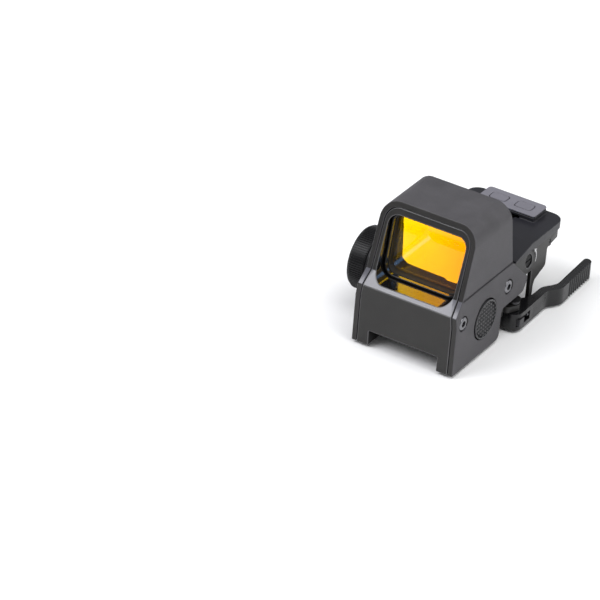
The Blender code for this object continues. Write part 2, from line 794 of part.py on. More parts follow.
def make_adjusters():
    """Two slotted screws: the windage screw faces right, and the elevation screw faces up."""
    profile = [(0, -7.6), (1.4, -7.6), (1.4, 17.0), (2.4, 17.0), (2.4, 19.0), (0, 19.0)]
    windage = turned_part(
        "windage_screw", "steel", "X", (WINDAGE_Y, WINDAGE_Z), profile,
        origin=(18, WINDAGE_Y, WINDAGE_Z), sides=20,
    )
    slot_low = (18.4, WINDAGE_Y - 2.0, WINDAGE_Z - 0.4)
    slot_high = (20, WINDAGE_Y + 2.0, WINDAGE_Z + 0.4)
    cut(windage, block("windage_slot", None, slot_low, slot_high))
    profile = [(0, 16.4), (1.5, 16.4), (1.5, 21.0), (2.2, 21.0), (2.2, 22.6), (0, 22.6)]
    elevation = turned_part(
        "elevation_screw", "steel", "Z", (0, ELEVATION_Y), profile,
        origin=(0, ELEVATION_Y, 20), sides=20,
    )
    slot_low = (-1.9, ELEVATION_Y - 0.4, 22.0)
    slot_high = (1.9, ELEVATION_Y + 0.4, 24)
    cut(elevation, block("elevation_slot_cut", None, slot_low, slot_high))


# ---- rail clamp -------------------------------------------------------------------------


def jaw_section(side, outer):
    """A jaw seen from behind: its hook reaches under the rail's lower slope."""
    inner = RAIL_HALF + GAP
    hook = inner - 2.0
    points = [
        (outer, -GAP),
        (inner, -GAP),
        (inner, -4.2),
        (hook, -5.9),
        (hook, JAW_BOTTOM),
        (outer, JAW_BOTTOM),
    ]
    return [(side * x, z) for x, z in points]


def make_clamp():
    top = CLAMP_CEILING - GAP
    outline = [
        (-17.4, CLAMP_FRONT),
        (17.4, CLAMP_FRONT),
        (21.0, 10.6, 1.5),
        (23.4, PIN_Y, 2.0),
        (21.0, 20.4, 1.5),
        (17.0, 22.0),
        (17.0, CLAMP_REAR),
        (-17.4, CLAMP_REAR),
    ]
    base = plate("clamp_base", "body_metal", outline, "Z", 1.1, 3.6)
    join(
        base,
        block("base_block", None, (-15.4, CLAMP_FRONT, 0), (14.6, 16.9, top)),
        block("base_rear", None, (-15.4, 16.0, 0), (14.6, CLAMP_REAR, 3.6)),
    )
    cut(base, rod("pin_bore", None, "Z", (PIN_X, PIN_Y), -10, 10, PIN_RADIUS + 0.1, sides=20))
    section = jaw_section(-1, FIXED_JAW_OUTER)
    fixed = plate("fixed_jaw", "body_metal", section, "Y", CLAMP_FRONT, CLAMP_REAR)
    section = jaw_section(1, JAW_OUTER)
    origin = (JAW_OUTER, PIN_Y, -3)
    jaw = plate("movable_jaw", "body_metal", section, "Y", CLAMP_FRONT, CLAMP_REAR, origin)
    join(jaw, rod("jaw_boss", None, "X", (PIN_Y, -3.6), 12, PIN_X - CAM_CLOSED - GAP, 1.7, sides=16))
    lug_low = (-8.6, GUIDE_Y[0] - 2.3, -2.95)
    lug = block("recoil_lug", "steel", lug_low, (8.6, GUIDE_Y[0] + 2.3, -GAP))
    for name, y in zip(("front", "rear"), GUIDE_Y):
        for target, low, high in ((jaw, 8, 20), (fixed, -20, -8), (lug, -10, 10)):
            if target is not lug or name == "front":
                cut(target, rod("guide_hole", None, "X", (y, GUIDE_Z), low, high, 1.05, sides=16))
        rod("jaw_guide_pin_" + name, "steel", "X", (y, GUIDE_Z), -14.4, 14.6, 0.75, sides=12)
    for name, y in (("jaw_screw_front", 15.2), ("jaw_screw_rear", 19.8)):
        spot = (-12.8, y)
        cut(
            fixed,
            rod(name + "_bore", None, "Z", spot, -20, 10, 1.4, sides=12),
            rod(name + "_seat", None, "Z", spot, -10, -5.0, 2.0, sides=16),
        )
        cut(base, rod(name + "_hole", None, "Z", spot, -10, 3.0, 1.4, sides=12))
        socket_screw(name, "Z", spot, -5.3, -6.9, 1.7, 2.6, 1.1)
    for name, x in (("base_screw_right", 9.0), ("base_screw_left", -9.0)):
        spot = (x, 13.2)
        cut(
            base,
            rod(name + "_bore", None, "Z", spot, -10, 10, 1.7, sides=12),
            rod(name + "_seat", None, "Z", spot, -10, 2.9, 2.7, sides=16),
        )
        thread = rod(name + "_thread", None, "Z", spot, 0, 10.4, 1.7, sides=12)
        cut(bpy.data.objects["housing"], thread)
        socket_screw(name, "Z", spot, 2.6, 0.5, 2.4, 10.0, 1.4)


def cam_points():
    """The head of the lever: its radius falls evenly from the closed to the open side."""
    points = []
    for step in range(9):
        share = step / 8
        angle = math.pi + share * math.pi / 2
        radius = CAM_CLOSED + (CAM_OPEN - CAM_CLOSED) * share
        points.append((PIN_X + radius * math.cos(angle), PIN_Y + radius * math.sin(angle)))
    return points


def make_lever():
    outline = cam_points() + [
        (LEVER_FACE, 11.2, 3.6),
        (24.9, 24.0, 20.0),
        (24.6, 35.3, 4.0),
        (28.3, 40.6, 6.0),
        (28.1, 49.0),
        (27.5, 67.0, 2.2),
        (24.0, 67.0, 1.4),
        (24.8, 49.0),
        (25.2, 42.6, 6.0),
        (21.3, 36.4, 6.0),
        (21.3, 27.0, 8.0),
        (16.0, 20.6, 4.0),
    ]
    pin = (PIN_X, PIN_Y, 0)
    lever = plate(
        "clamp_lever", "lever_metal", outline, "Z", LEVER_BOTTOM, LEVER_TOP, origin=pin, steps=4
    )
    cut(
        lever,
        block("lock_slot", None, (22.6, 12.4, -4.6), (30, 21.6, -1.0)),
        rod("lever_bore", None, "Z", (PIN_X, PIN_Y), -10, 10, PIN_RADIUS + 0.1, sides=20),
    )
    pin_foot = LEVER_BOTTOM + 0.4
    head = (3.9, 4.9)
    profile = [
        (0, pin_foot),
        (PIN_RADIUS, pin_foot),
        (PIN_RADIUS, head[0]),
        (2.3, head[0]),
        (2.3, head[1]),
        (0, head[1]),
    ]
    turned_part("lever_pin", "steel", "Z", (PIN_X, PIN_Y), profile, sides=20)
    tab_low = (22.9, 12.7, -4.3)
    block("lock_tab", "steel", tab_low, (25.5, 16.2, -1.3), origin=(24, 14, -2.8))
    coil("lock_spring", "steel", "Y", (23.9, -2.8), 20.0, 21.3, 0.7, 0.12, 3, origin=pin)


make_housing()
make_shield()
make_shield_screws()
make_window()
make_battery()
make_battery_cap()
make_side_plug()
make_rear_cover()
make_cover_screws()
make_panel()
make_electronics()
make_emitter()
make_adjusters()
make_clamp()
make_lever()
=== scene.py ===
"""The looks of a hooded reflex sight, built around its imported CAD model.

Lengths are in millimetres until a piece is placed, and then in metres. X runs to the right
seen from behind, Y to the rear and Z up, with the origin on the rail seat.
"""
import math

import bmesh
import bpy
from mathutils import Matrix, Vector


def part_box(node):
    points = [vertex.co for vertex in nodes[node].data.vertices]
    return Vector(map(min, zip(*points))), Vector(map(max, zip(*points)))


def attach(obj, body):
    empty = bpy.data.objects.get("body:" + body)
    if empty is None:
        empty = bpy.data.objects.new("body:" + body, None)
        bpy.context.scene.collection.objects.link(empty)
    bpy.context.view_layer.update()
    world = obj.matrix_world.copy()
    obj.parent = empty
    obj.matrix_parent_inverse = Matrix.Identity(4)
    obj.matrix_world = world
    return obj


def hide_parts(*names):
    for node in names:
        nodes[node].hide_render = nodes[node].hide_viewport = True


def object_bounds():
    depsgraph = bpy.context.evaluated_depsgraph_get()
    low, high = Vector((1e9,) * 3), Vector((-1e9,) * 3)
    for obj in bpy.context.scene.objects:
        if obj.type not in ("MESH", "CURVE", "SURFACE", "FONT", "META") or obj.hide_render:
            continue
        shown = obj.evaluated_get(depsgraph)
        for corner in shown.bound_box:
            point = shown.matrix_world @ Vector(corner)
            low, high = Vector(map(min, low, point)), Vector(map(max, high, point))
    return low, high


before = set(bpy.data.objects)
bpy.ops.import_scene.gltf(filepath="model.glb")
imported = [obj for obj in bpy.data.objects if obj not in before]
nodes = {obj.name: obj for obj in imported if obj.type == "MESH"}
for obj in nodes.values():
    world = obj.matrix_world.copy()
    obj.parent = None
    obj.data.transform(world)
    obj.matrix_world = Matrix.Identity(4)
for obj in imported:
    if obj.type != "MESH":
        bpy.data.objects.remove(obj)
cad_low, cad_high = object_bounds()

# ---- Housing ------------------------------------------------------------------------------
# One aluminium casting, milled and anodised a satin black: the block over the rail, the hood
# with the window's tunnel and the tub behind it. The walls of the tunnel are left glossy. The
# hood's strip behind the shield and the windage hole are darkened as painted shade, and the
# ledge and the edges are lightened as painted highlights.

MM = 0.001
AXIS_FRAMES = {
    "Z": Matrix(((1, 0, 0), (0, 1, 0), (0, 0, 1))),
    "Y": Matrix(((1, 0, 0), (0, 0, 1), (0, 1, 0))),
    "X": Matrix(((0, 0, 1), (1, 0, 0), (0, 1, 0))),
}


def box_of(node):
    """A CAD node's lowest and highest corners, in millimetres."""
    low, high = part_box(node)
    return low / MM, high / MM


def rounded(corners, steps=14):
    """The points of an outline whose corners are (a, b) or (a, b, radius)."""
    points = []
    for index, corner in enumerate(corners):
        here = Vector(corner[:2])
        radius = corner[2] if len(corner) > 2 else 0
        if not radius:
            points.append(here)
            continue
        before = (Vector(corners[index - 1][:2]) - here).normalized()
        after = (Vector(corners[(index + 1) % len(corners)][:2]) - here).normalized()
        half = before.angle(after) / 2
        reach = radius / math.tan(half)
        centre = here + (before + after).normalized() * (radius / math.sin(half))
        first = here + before * reach - centre
        sweep = first.angle_signed(here + after * reach - centre)
        for step in range(steps + 1):
            points.append(centre + Matrix.Rotation(-sweep * step / steps, 2) @ first)
    return points


def mesh_of(work):
    """A mesh from a bmesh, with its faces turned outwards."""
    bmesh.ops.recalc_face_normals(work, faces=work.faces)
    mesh = bpy.data.meshes.new("shape")
    work.to_mesh(mesh)
    work.free()
    return mesh


def turned_to(mesh, axis, centre=(0, 0)):
    """Stands a mesh that was made along Z on an axis; centre holds its two other coordinates."""
    spot = list(centre)
    spot.insert("XYZ".index(axis), 0)
    mesh.transform(Matrix.Translation(spot) @ AXIS_FRAMES[axis].to_4x4())
    if axis == "Y":
        mesh.flip_normals()
    return mesh


def prism(corners, axis, low, high, steps=14):
    """An outline extruded along an axis. It lies in XY for Z, XZ for Y and YZ for X."""
    work = bmesh.new()
    face = work.faces.new([work.verts.new((*point, low)) for point in rounded(corners, steps)])
    side = bmesh.ops.extrude_face_region(work, geom=[face])["geom"]
    top = [part for part in side if isinstance(part, bmesh.types.BMVert)]
    bmesh.ops.translate(work, vec=(0, 0, high - low), verts=top)
    return turned_to(mesh_of(work), axis)


def cylinder(axis, centre, low, high, radius, sides=48):
    work = bmesh.new()
    bmesh.ops.create_cone(
        work, cap_ends=True, segments=sides, radius1=radius, radius2=radius, depth=high - low
    )
    bmesh.ops.translate(work, vec=(0, 0, (low + high) / 2), verts=work.verts)
    return turned_to(mesh_of(work), axis, centre)


def brick(low, high):
    work = bmesh.new()
    bmesh.ops.create_cube(work, size=1)
    size = Vector(high) - Vector(low)
    bmesh.ops.scale(work, vec=size, verts=work.verts)
    bmesh.ops.translate(work, vec=Vector(low) + size / 2, verts=work.verts)
    return mesh_of(work)


def combined(how, base, *tools):
    """The base's mesh after the tools are cut from it, joined to it or kept in common."""
    holder = bpy.data.objects.new("base", base)
    bpy.context.scene.collection.objects.link(holder)
    used = [holder]
    for tool in tools:
        made = bpy.data.objects.new("tool", tool)
        bpy.context.scene.collection.objects.link(made)
        used.append(made)
        step = holder.modifiers.new("step", "BOOLEAN")
        step.operation = how
        step.object = made
        step.solver = "EXACT"
    graph = bpy.context.evaluated_depsgraph_get()
    result = bpy.data.meshes.new_from_object(holder.evaluated_get(graph))
    for made in used:
        bpy.data.objects.remove(made)
    work = bmesh.new()
    work.from_mesh(result)
    bmesh.ops.remove_doubles(work, verts=work.verts, dist=0.004)
    bmesh.ops.dissolve_limit(
        work, angle_limit=math.radians(0.4), verts=work.verts, edges=work.edges
    )
    work.to_mesh(result)
    work.free()
    return result


def cut(base, *tools):
    return combined("DIFFERENCE", base, *tools)


def common(base, tool):
    return combined("INTERSECT", base, tool)


class Wire:
    """An output of a material's node tree, on which plain arithmetic adds Math nodes."""

    def __init__(self, tree, socket=None):
        self.tree = tree
        self.socket = socket

    def node(self, kind, settings=(), sockets=(), output=0):
        """Adds a node. Its settings are set first, then its sockets."""
        made = self.tree.nodes.new(kind)
        for key, value in dict(settings).items():
            setattr(made, key, value)
        for key, value in dict(sockets).items():
            if isinstance(value, Wire):
                self.tree.links.new(value.socket, made.inputs[key])
            else:
                made.inputs[key].default_value = value
        return Wire(self.tree, made.outputs[output] if made.outputs else None)

    def maths(self, operation, *values):
        return self.node("ShaderNodeMath", {"operation": operation}, enumerate(values))

    def __add__(self, other):
        return self.maths("ADD", self, other)

    def __sub__(self, other):
        return self.maths("SUBTRACT", self, other)

    def __rsub__(self, other):
        return self.maths("SUBTRACT", other, self)

    def __mul__(self, other):
        return self.maths("MULTIPLY", self, other)

    def __gt__(self, other):
        return self.maths("GREATER_THAN", self, other)

    def __lt__(self, other):
        return self.maths("LESS_THAN", self, other)

    __radd__ = __add__
    __rmul__ = __mul__


def new_material(name):
    """An empty material, and a Wire without a socket to start its nodes from."""
    made = bpy.data.materials.new(name)
    made.use_nodes = True
    made.node_tree.nodes.clear()
    return made, Wire(made.node_tree)


def place_in(wire):
    """The point being shaded, in millimetres on its own piece."""
    spot = wire.node("ShaderNodeTexCoord", output="Object")
    settings = {"vector_type": "POINT"}
    return wire.node("ShaderNodeMapping", settings, {"Vector": spot, "Scale": [1 / MM] * 3})


def noise(spot, size, detail=2.0, roughness=0.5):
    """Noise from 0 to 1 whose grains are about size across, in millimetres."""
    sockets = {"Vector": spot, "Scale": 1 / size, "Detail": detail, "Roughness": roughness}
    return spot.node("ShaderNodeTexNoise", {"noise_dimensions": "3D"}, sockets)


def mixed(factor, first, second):
    """A colour between two colours."""
    settings = {"data_type": "RGBA", "blend_type": "MIX"}
    return factor.node("ShaderNodeMix", settings, {0: factor, 6: first, 7: second}, output=2)


def ranged(value, low, high, to_low, to_high):
    """A value spread from one range to another, held at its ends."""
    sockets = {"From Min": low, "From Max": high, "To Min": to_low, "To Max": to_high}
    return value.node("ShaderNodeMapRange", {"clamp": True}, {"Value": value, **sockets})


def bumped(height, depth):
    """A surface normal from a height of 0 to 1 that stands for depth millimetres."""
    sockets = {"Height": height, "Strength": 1.0, "Distance": depth * MM}
    return height.node("ShaderNodeBump", sockets=sockets)


def finished(wire, **sockets):
    """A Principled shader with these sockets, joined to the material's output."""
    named = {key.replace("_", " "): value for key, value in sockets.items()}
    shader = wire.node("ShaderNodeBsdfPrincipled", sockets=named)
    wire.node("ShaderNodeOutputMaterial", sockets={"Surface": shader})


def anodised(name, dark, light, grain, depth, rough, sheen):
    """Anodised aluminium over a blasted grain, a little patchy."""
    made, wire = new_material(name)
    spot = place_in(wire)
    fine = noise(spot, grain, 3.0, 0.6)
    broad = noise(spot, 9.0, 2.0)
    patch = ranged(fine * 0.55 + broad * 0.45, 0.3, 0.7, 0.0, 1.0)
    base = mixed(patch, (*dark, 1), (*light, 1))
    gloss = ranged(broad * 0.5 + fine * 0.5, 0.3, 0.7, rough - 0.05, rough + 0.06)
    finished(
        wire,
        Base_Color=base,
        Roughness=gloss,
        Specular_IOR_Level=sheen,
        Normal=bumped(fine, depth),
    )
    return made


def softened(made, width, segments, sharp):
    """Rounds an object's sharp edges with a modifier, which it returns."""
    soften = made.modifiers.new("softened_edges", "BEVEL")
    soften.width = width * MM
    soften.segments = segments
    soften.limit_method = "ANGLE"
    soften.angle_limit = math.radians(sharp)
    return soften


def piece(name, mesh, body, material, replaced=(), edge=0.25, sharp=35, edge_highlight_index=-1):
    """Places a finished mesh in metres, softens its edges and ties it to the frame.

    Of several materials, the last argument gives the index of the one on the softened edges, which
    paints a highlight along them.
    """
    mesh.name = name
    mesh.shade_smooth()
    mesh.transform(Matrix.Scale(MM, 4))
    made = bpy.data.objects.new(name, mesh)
    bpy.context.scene.collection.objects.link(made)
    for finish in material if isinstance(material, tuple) else (material,):
        mesh.materials.append(finish)
    if edge:
        soften = softened(made, edge, 3, sharp)
        soften.use_clamp_overlap = False
        soften.miter_outer = "MITER_ARC"
        soften.material = edge_highlight_index
        level = made.modifiers.new("level_faces", "WEIGHTED_NORMAL")
        level.keep_sharp = True
    else:
        mesh.set_sharp_from_angle(angle=math.radians(sharp))
    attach(made, body)
    if replaced:
        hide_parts(*replaced)
    return made


housing_low, housing_high = box_of("housing")
front = housing_low.y
rear = housing_high.y
housing_half = housing_high.x
housing_top = housing_high.z
leg_bottom = housing_low.z
housing_half_upper = housing_half - 1.5
notch_half = 14.9
crease_low = 14.0
crease_step = 0.4
split_height = 20.4
ledge_foot = (front, 18.7)
ledge_head = (-27.2, 23.6)
hood_front_top = -18.6
tunnel_half = 16.7
tunnel_floor = 20.1
tunnel_roof = 45.5
battery_height = 10.0
plug_spot = (-9.4, 8.5)
plug_radius = 8.3
windage_spot = (27.1, 15.9)
rear_corner = 5.0
tub_floor = 10.8
base_bolt_spots = ((9.0, 13.2), (-9.0, 13.2))
board_screw_spots = ((15.2, 22.0), (-15.2, 22.0))
cover_bolt_spots = ((17.4, 43.4), (-17.4, 43.4))


def hood_half(half, half_upper, top, radius):
    """One half of the hood's outline seen from behind: up its right side and over its corner."""
    return [
        (half, leg_bottom),
        (half, crease_low),
        (half_upper + crease_step, ledge_head[1]),
        (half_upper, top, radius),
    ]


def mirrored(points):
    """The same points on the left side, in the opposite order."""
    return [(-point[0], *point[1:]) for point in reversed(points)]


def window_outline(inset):
    """The tunnel's outline seen from behind, drawn in by inset."""
    half = tunnel_half - inset
    low = tunnel_floor + inset
    high = tunnel_roof - inset
    return [
        (-half, low, 5.0 - inset),
        (half, low, 5.0 - inset),
        (half, high, 4.2 - inset),
        (-half, high, 4.2 - inset),
    ]


def shield_screw_spots():
    """Front and rear on each side. The left rear one stands clear of the battery neck."""
    return [(20.0, -26.5, 14.4), (20.0, 7.5, 14.6), (-20.0, -26.5, 14.4), (-20.0, 15.8, 14.0)]


def housing_shape():
    hood = hood_half(housing_half, housing_half_upper, housing_top, 5.6)
    notch = [(-notch_half, leg_bottom), (-notch_half, 0), (notch_half, 0), (notch_half, leg_bottom)]
    shape = prism(notch + hood + mirrored(hood), "Y", front, rear)
    over = housing_top + 1
    side = [
        (front, leg_bottom),
        ledge_foot,
        ledge_head,
        (hood_front_top, over),
        (9.0, over),
        (13.5, ledge_head[1]),
        (13.8, split_height),
        (rear, split_height),
        (52.1, 16.8, 1.5),
        (41.3, 15.4, 1.5),
        (41.1, 8.0, 1.5),
        (33.1, 5.0, 1.0),
        (32.2, 2.6),
        (32.2, -3.0),
        (29.8, -3.0),
        (29.8, tub_floor),
        (18.6, tub_floor),
        (17.2, 6.4),
        (9.3, 6.4),
        (9.3, 0),
        (2.9, 0),
        (2.9, leg_bottom),
    ]
    shape = common(shape, prism(side, "X", -30, 30))
    plan = [
        (-housing_half - 1, front - 1),
        (housing_half + 1, front - 1),
        (housing_half, rear, rear_corner),
        (-housing_half, rear, rear_corner),
    ]
    shape = common(shape, prism(plan, "Z", -20, 70))
    tub = [(-17.6, 10.6), (17.6, 10.6), (17.6, 38.6), (14.0, 50.2), (-14.0, 50.2), (-17.6, 38.6)]
    shape = cut(
        shape,
        prism(window_outline(0), "Y", front - 5, 20),
        prism(tub, "Z", 17.0, 30),
        brick((-17.6, 10.6, 12.2), (17.6, 39.4, 18)),
        brick((-17.9, 29.0, -10), (17.9, 39.5, tub_floor)),
        cylinder("X", (0, battery_height), -30, 11.0, 8.85, 64),
        cylinder("Y", (10.1, 14.5), 4, 14, 0.9, 16),
        cylinder("X", windage_spot, 15, 30, 2.7),
        cylinder("X", plug_spot, 17.5, 30, plug_radius - 0.6, 64),
    )
    holes = [cylinder("X", (y, z), x - 4.5, x + 4.5, 1.6, 24) for x, y, z in shield_screw_spots()]
    for spot in cover_bolt_spots:
        holes.append(cylinder("Z", spot, 10, 30, 1.3, 24))
        holes.append(cylinder("Z", spot, 10, 18.0, 2.0, 24))
    holes += [cylinder("Z", spot, 11.2, 20, 1.1, 24) for spot in board_screw_spots]
    holes += [cylinder("Z", spot, 0, 10.4, 1.7, 24) for spot in base_bolt_spots]
    return cut(shape, *holes)


def face_finishes(mesh):
    """Second material in the tunnel, third on the hood and in the hole as painted shade, fourth on the
    ledge as a painted highlight.
    """
    for face in mesh.polygons:
        across, along, height = face.center
        bore = (Vector((along, height)) - Vector(windage_spot)).length < 2.9 and across > 14
        between = tunnel_floor - 0.05 < height < tunnel_roof + 0.05
        if between and abs(across) < tunnel_half + 0.05 and abs(face.normal.y) < 0.3:
            face.material_index = 1
        # Painted shade on the hood's strip behind the shield and in the windage hole.
        elif bore or (height > ledge_head[1] + 1 and face.normal.y > -0.5):
            face.material_index = 2
        # Painted highlight on the faces that look forward and up.
        elif face.normal.y < -0.6 and face.normal.z > 0.6:
            face.material_index = 3


body_satin = anodised(
    "body_satin", (0.013, 0.0125, 0.012), (0.022, 0.021, 0.02), 0.35, 0.012, 0.34, 0.36
)
tunnel_gloss = anodised(
    "tunnel_gloss", (0.003, 0.003, 0.0035), (0.006, 0.006, 0.0065), 0.5, 0.003, 0.14, 0.4
)
# A near-black matte that paints the shade on the hood's strip and in the windage hole.
painted_hood_shade = anodised(
    "painted_hood_shade", (0.004, 0.004, 0.005), (0.007, 0.007, 0.008), 0.4, 0.01, 0.6, 0.12
)
# A lighter grey for the housing's softened edges, painted as the highlight along them.
painted_edge_highlight = anodised(
    "painted_edge_highlight", (0.05, 0.05, 0.052), (0.09, 0.09, 0.094), 0.3, 0.006, 0.3, 0.7
)
# A lighter grey for the faces that look forward and up, painted as the highlight the ledge catches.
painted_ledge_highlight = anodised(
    "painted_ledge_highlight", (0.075, 0.075, 0.089), (0.105, 0.105, 0.124), 0.3, 0.006, 0.3, 0.7
)
housing = housing_shape()
face_finishes(housing)
piece(
    "housing_body", housing, "sight", (body_satin, tunnel_gloss, painted_hood_shade, painted_ledge_highlight, painted_edge_highlight),
    ["housing"], edge=0.3, edge_highlight_index=4,
)

# ---- Shield -------------------------------------------------------------------------------
# A bent and milled aluminium shroud over the hood, blasted before it was anodised, so its
# grain is coarse and matte. Four screws hold it, and its sides open for the plug and battery.

shield_high = box_of("shield")[1]
shield_half = shield_high.x
shield_top = shield_high.z
GAP = 0.3  # between neighbouring parts
shield_wall = 2.0
hood_radius = 7.8


def shield_shape():
    outer = hood_half(shield_half, shield_half - 1.5, shield_top, hood_radius)
    inner = hood_half(
        housing_half + GAP, housing_half_upper + GAP, shield_top - 2.3, hood_radius - shield_wall
    )
    section = outer + mirrored(outer) + list(reversed(mirrored(inner))) + list(reversed(inner))
    shape = prism(section, "Y", front, 30)
    side = [
        (front, leg_bottom),
        ledge_foot,
        ledge_head,
        (hood_front_top, shield_top),
        (6.0, shield_top, 1.0),
        (10.8, 23.1),
        (22.9, 12.0, 2.0),
        (19.6, 6.8, 2.5),
        (3.6, 6.6, 2.0),
        (3.2, leg_bottom, 2.5),
    ]
    shape = common(shape, prism(side, "X", -30, 30))
    holes = [cylinder("X", (y, z), x - 4.5, x + 4.5, 3.0) for x, y, z in shield_screw_spots()]
    fold = shield_half - 1.5 + crease_step
    score = [
        (fold - 0.1, ledge_head[1]),
        (fold, ledge_head[1] - 0.1),
        (fold + 0.4, ledge_head[1] - 0.1),
        (fold + 0.4, ledge_head[1] + 0.1),
        (fold, ledge_head[1] + 0.1),
    ]
    for line in (score, mirrored(score)):
        holes.append(prism(line, "Y", -26.4, 20))
    return cut(
        shape,
        cylinder("X", (0, battery_height), -30, -10, 10.5, 96),
        cylinder("X", plug_spot, 10, 30, plug_radius, 96),
        *holes,
    )


shield_matte = anodised(
    "shield_matte", (0.045, 0.0435, 0.047), (0.085, 0.082, 0.089), 0.22, 0.03, 0.55, 0.3
)
shroud = shield_shape()
# Faces that look forward take the housing's darker satin as painted shade, and those that look forward
# and up take the painted ledge highlight.
for face in shroud.polygons:
    if face.normal.y < -0.6:
        face.material_index = 1 if face.normal.z > 0.6 else 2
piece(
    "shield_shroud", shroud, "sight", (shield_matte, painted_ledge_highlight, body_satin), ["shield"],
    edge=0.35,
)

# ---- Screws -------------------------------------------------------------------------------
# Small hexagon-socket screws, turned in steel. Their faces are bright and lightly scored, and
# the sockets are dark.


def turned(axis, centre, profile, sides=48):
    """A turned shape: profile holds (radius, place along the axis), from one end to the other."""
    work = bmesh.new()
    corners = [work.verts.new((radius, 0, along)) for radius, along in profile]
    for first, second in zip(corners, corners[1:]):
        work.edges.new((first, second))
    bmesh.ops.spin(
        work, geom=work.verts[:] + work.edges[:], axis=(0, 0, 1), cent=(0, 0, 0),
        steps=sides, angle=math.tau, use_merge=True,
    )
    bmesh.ops.remove_doubles(work, verts=work.verts, dist=0.001)
    return turned_to(mesh_of(work), axis, centre)


def steel_finish(name, colour, rough):
    made, wire = new_material(name)
    spot = place_in(wire)
    fine = noise(spot, 0.12, 3.0)
    stained = noise(spot, 1.3, 2.0)
    base = mixed(stained, (*[0.75 * c for c in colour], 1), (*colour, 1))
    finished(
        wire,
        Base_Color=base,
        Metallic=1.0,
        Roughness=ranged(fine, 0.3, 0.7, rough - 0.06, rough + 0.08),
        Normal=bumped(fine, 0.004),
    )
    return made


def socket_screw(axis, centre, face, under, head_radius, tip, radius):
    """A screw with a hexagon socket and a rounded rim; face is the outer end of its head."""
    out = math.copysign(1, face - under)
    rim = 0.22 * head_radius
    arc = []
    for step in range(5):
        angle = math.pi / 2 * step / 4
        radius_there = head_radius - rim + rim * math.cos(angle)
        arc.append((radius_there, face - out * rim * (1 - math.sin(angle))))
    profile = [(0, tip), (radius, tip), (radius, under), (head_radius, under), *arc, (0, face)]
    shape = turned(axis, centre, profile)
    reach = 0.52 * head_radius
    turns = [math.tau * k / 6 for k in range(6)]
    key = [(reach * math.cos(turn), reach * math.sin(turn)) for turn in turns]
    floor = face - out * 0.6 * abs(face - under)
    low, high = sorted((floor, face + out))
    hexagon = prism(key, "Z", low, high)
    return cut(shape, turned_to(hexagon, axis, centre))


screw_steel = steel_finish("screw_steel", (0.22, 0.22, 0.235), 0.26)
screw_names = ("right_front", "right_rear", "left_front", "left_rear")
for name, (x, y, z) in zip(screw_names, shield_screw_spots()):
    side = math.copysign(1, x)
    shape = socket_screw("X", (y, z), side * 21.9, side * 20.1, 2.7, side * 17.9, 1.3)
    piece(
        "shield_bolt_" + name, shape, "sight", screw_steel, ["shield_screw_" + name],
        edge=0,
    )

# ---- Window -------------------------------------------------------------------------------
# A tilted glass plate with an amber mirror coating on its front, which sends the red dot back
# and lets blue through. A rubber gasket and a thin blackened ring hold it in the tunnel.

lens_tilt = math.tan(math.radians(11))
lens_foot = box_of("lens")[0].y - lens_tilt * 1.7
lens_thickness = 3.2
gasket_rim = 1.1
retainer_rim = 0.8


def leaned(mesh):
    """Leans a piece that stands in the window back with its height."""
    lean = Matrix.Identity(4)
    lean[1][2] = lens_tilt
    lean[1][3] = -lens_tilt * tunnel_floor
    mesh.transform(lean)
    return mesh


def amber_coating():
    """Mirrors yellow on the left through orange on the right, and passes what is left over."""
    made, wire = new_material("amber_coating")
    spot = place_in(wire)
    across = wire.node("ShaderNodeSeparateXYZ", sockets={"Vector": spot})
    drift = across + noise(spot, 14.0) * 9.0 - 4.5
    yellow = (1.0, 0.6, 0.0, 1)
    orange = (1.0, 0.34, 0.0, 1)
    tint = mixed(ranged(drift, -13.0, 15.0, 0.0, 1.0), yellow, orange)
    mirror = wire.node(
        "ShaderNodeBsdfPrincipled",
        sockets={"Base Color": tint, "Metallic": 1.0, "Roughness": 0.03},
    )
    clear = wire.node("ShaderNodeBsdfTransparent", sockets={"Color": (0.18, 0.42, 0.8, 1)})
    both = wire.node("ShaderNodeAddShader", sockets={0: mirror, 1: clear})
    wire.node("ShaderNodeOutputMaterial", sockets={"Surface": both})
    return made


def clear_glass(name, tint, share):
    """Thin clear glass that shows what is behind it, with a plain gloss."""
    made, wire = new_material(name)
    dust = noise(place_in(wire), 3.0, 4.0, 0.6)
    gloss = wire.node(
        "ShaderNodeBsdfPrincipled",
        sockets={"Base Color": (0.01, 0.01, 0.01, 1), "Roughness": ranged(dust, 0.3, 0.8, 0.02, 0.12)},
    )
    clear = wire.node("ShaderNodeBsdfTransparent", sockets={"Color": tint})
    both = wire.node("ShaderNodeMixShader", sockets={0: share, 1: clear, 2: gloss})
    wire.node("ShaderNodeOutputMaterial", sockets={"Surface": both})
    return made


def rubber_finish(name, colour):
    made, wire = new_material(name)
    spot = place_in(wire)
    pores = noise(spot, 0.25, 3.0, 0.6)
    bloom = noise(spot, 4.0)
    base = mixed(bloom, (*colour, 1), (*[1.6 * c for c in colour], 1))
    finished(
        wire,
        Base_Color=base,
        Roughness=ranged(pores, 0.3, 0.7, 0.6, 0.8),
        Normal=bumped(pores, 0.01),
    )
    return made


amber = amber_coating()
lens_glass = clear_glass("lens_glass", (0.93, 0.96, 0.97, 1), 0.08)
black_rubber = rubber_finish("black_rubber", (0.008, 0.008, 0.008))


